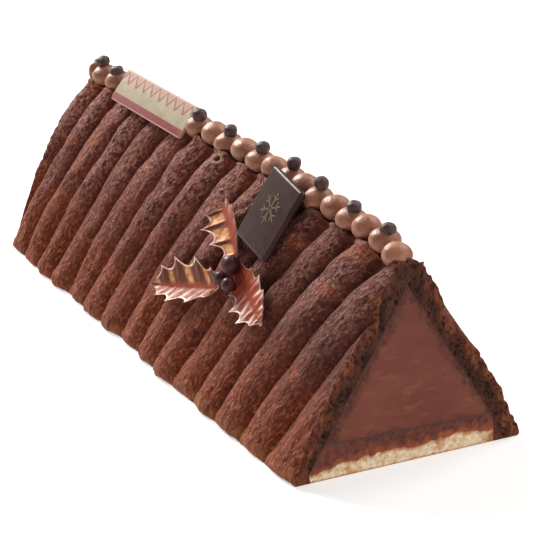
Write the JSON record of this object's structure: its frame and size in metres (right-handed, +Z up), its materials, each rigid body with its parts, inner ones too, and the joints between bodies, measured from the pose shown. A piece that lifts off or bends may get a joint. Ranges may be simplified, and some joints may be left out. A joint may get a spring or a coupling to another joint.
{
  "type": "yule log cake",
  "caption": "three-sided yule log of chocolate mousse on sponge, walled with piped finger biscuit, with ganache balls, pearls, a plaque and foil holly along its ridge",
  "frame": {"origin": "middle of the flat underside, halfway along the log and halfway between the feet of the two walls", "axes": "+X along the log towards the freshly cut end, +Y towards the back wall, +Z up"},
  "size_m": [0.2848, 0.0912, 0.0876],
  "materials": {
    "piped_biscuit": "matte, porous cocoa finger biscuit",
    "mousse": "smooth set chocolate mousse, cut clean",
    "soaked_sponge": "moist cocoa sponge",
    "pale_sponge": "dry open crumb",
    "ganache": "satin whipped milk chocolate ganache",
    "pearl_chocolate": "satin dark chocolate",
    "plaque_chocolate": "satin white chocolate with a printed red band and triangles",
    "dark_chocolate": "satin moulded dark chocolate",
    "leaf_foil": "shiny copper-coloured pressed foil with a pale rim",
    "berry_gloss": "glossy dark berry"
  },
  "bodies": {
    "root": {"biscuit_wall_front": "piped_biscuit", "biscuit_wall_back": "piped_biscuit", "chocolate_mousse": "mousse", "soaked_sponge": "soaked_sponge", "base_sponge": "pale_sponge", "greeting_plaque": "plaque_chocolate", "chocolate_square": "dark_chocolate", "holly_leaf_1": "leaf_foil", "holly_leaf_2": "leaf_foil", "holly_leaf_3": "leaf_foil", "holly_berry_1": "berry_gloss", "holly_berry_2": "berry_gloss", "holly_berry_3": "berry_gloss", "ganache_ball_01": "ganache", "ganache_ball_02": "ganache", "ganache_ball_03": "ganache", "ganache_ball_04": "ganache", "ganache_ball_05": "ganache", "ganache_ball_06": "ganache", "ganache_ball_07": "ganache", "ganache_ball_08": "ganache", "ganache_ball_09": "ganache", "ganache_ball_10": "ganache", "ganache_ball_11": "ganache", "ganache_ball_12": "ganache", "ganache_ball_13": "ganache", "ganache_ball_14": "ganache", "ganache_ball_15": "ganache", "ganache_ball_16": "ganache", "ganache_ball_17": "ganache", "ganache_ball_18": "ganache", "ganache_ball_19": "ganache", "ganache_ball_20": "ganache", "ganache_ball_21": "ganache", "ganache_ball_22": "ganache", "chocolate_pearl_02": "pearl_chocolate", "chocolate_pearl_04": "pearl_chocolate", "chocolate_pearl_06": "pearl_chocolate", "chocolate_pearl_08": "pearl_chocolate", "chocolate_pearl_10": "pearl_chocolate", "chocolate_pearl_12": "pearl_chocolate", "chocolate_pearl_14": "pearl_chocolate", "chocolate_pearl_20": "pearl_chocolate", "chocolate_pearl_21": "pearl_chocolate", "chocolate_pearl_22": "pearl_chocolate"}
  },
  "joints": []
}
